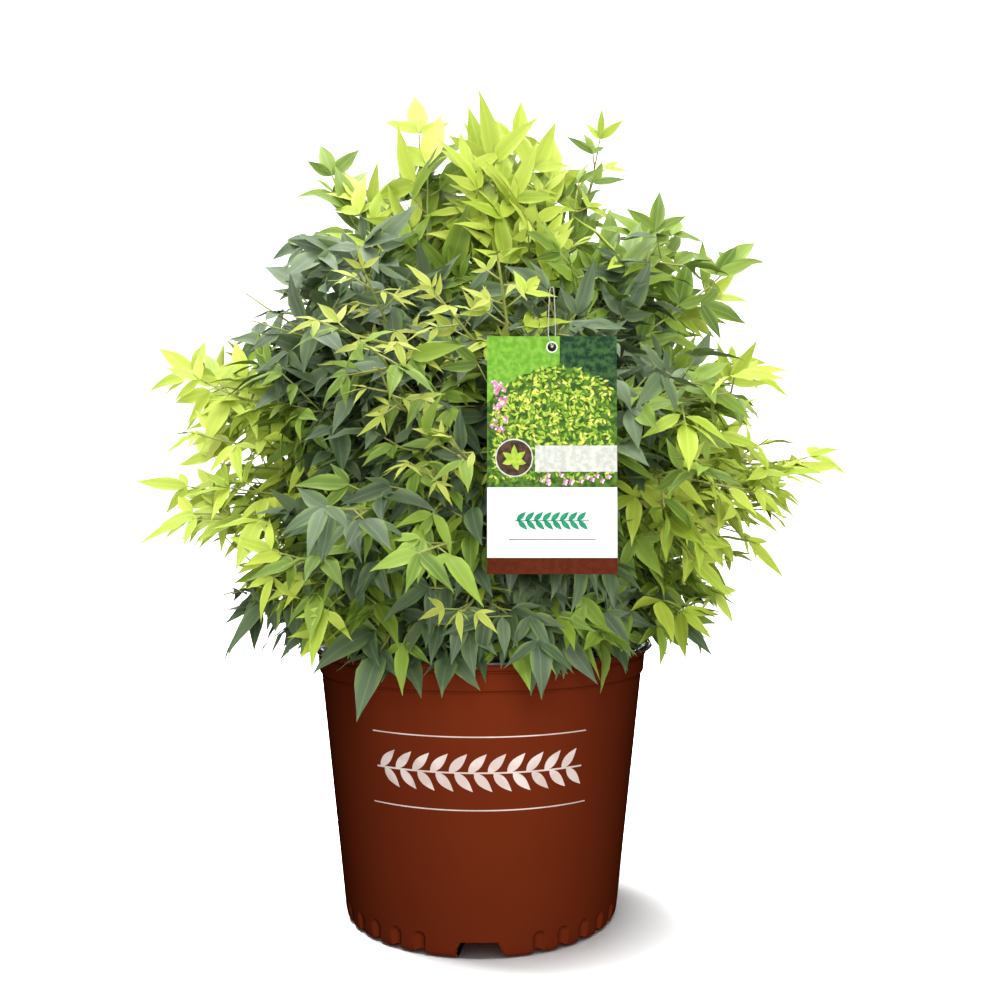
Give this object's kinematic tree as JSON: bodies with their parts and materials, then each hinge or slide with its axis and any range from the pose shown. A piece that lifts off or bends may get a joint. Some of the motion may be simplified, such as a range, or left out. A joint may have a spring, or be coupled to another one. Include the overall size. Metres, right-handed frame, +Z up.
{
  "type": "heavenly bamboo shrub in a nursery pot",
  "caption": "Rounded clump of slender canes with finely divided lime and green leaves, growing in a tapered round nursery pot, with a blank picture tag on a thread.",
  "frame": {"origin": "centre of the pot's flat underside, which stands on the floor", "axes": "+Z up along the pot's axis; -Y is the front, where the tag hangs; +X is to the right seen from the front"},
  "size_m": [0.5895, 0.6004, 0.6796],
  "materials": {
    "pot_plastic": "satin moulded plastic",
    "potting_mix": "rough bark chips",
    "cane_bark": "matt furrowed bark",
    "bough_bark": "smooth young bark",
    "lime_leaf": "soft satin leaf",
    "green_leaf": "soft satin leaf",
    "tag_card": "smooth printed card",
    "thread": "smooth thread"
  },
  "bodies": {
    "root": {"bough_middle_1": "bough_bark", "bough_middle_2": "bough_bark", "bough_middle_3": "bough_bark", "bough_middle_4": "bough_bark", "bough_middle_5": "bough_bark", "bough_middle_6": "bough_bark", "bough_middle_7": "bough_bark", "cane_spire_1": "cane_bark", "cane_spire_2": "cane_bark", "cane_top_1": "cane_bark", "cane_top_2": "cane_bark", "cane_top_3": "cane_bark", "cane_top_4": "cane_bark", "cane_upper_1": "cane_bark", "cane_upper_2": "cane_bark", "cane_upper_3": "cane_bark", "cane_upper_4": "cane_bark", "cane_upper_5": "cane_bark", "cane_upper_6": "cane_bark", "cane_upper_7": "cane_bark", "foliage_low_1": "green_leaf", "foliage_low_2": "green_leaf", "foliage_low_3": "green_leaf", "foliage_low_4": "green_leaf", "foliage_low_5": "green_leaf", "foliage_low_6": "green_leaf", "foliage_low_7": "green_leaf", "foliage_middle_1": "lime_leaf", "foliage_middle_2": "lime_leaf", "foliage_middle_3": "lime_leaf", "foliage_middle_4": "lime_leaf", "foliage_middle_5": "lime_leaf", "foliage_middle_6": "lime_leaf", "foliage_middle_7": "lime_leaf", "foliage_skirt_1": "green_leaf", "foliage_skirt_2": "green_leaf", "foliage_skirt_3": "green_leaf", "foliage_skirt_4": "green_leaf", "foliage_skirt_5": "green_leaf", "foliage_skirt_6": "green_leaf", "foliage_skirt_7": "green_leaf", "foliage_spire_1": "lime_leaf", "foliage_spire_2": "lime_leaf", "foliage_top_1": "lime_leaf", "foliage_top_2": "lime_leaf", "foliage_top_3": "lime_leaf", "foliage_top_4": "lime_leaf", "foliage_upper_1": "lime_leaf", "foliage_upper_2": "lime_leaf", "foliage_upper_3": "lime_leaf", "foliage_upper_4": "lime_leaf", "foliage_upper_5": "lime_leaf", "foliage_upper_6": "lime_leaf", "foliage_upper_7": "lime_leaf", "pot": "pot_plastic", "soil": "potting_mix", "tag": "tag_card", "tag_thread": "thread"}
  },
  "joints": []
}
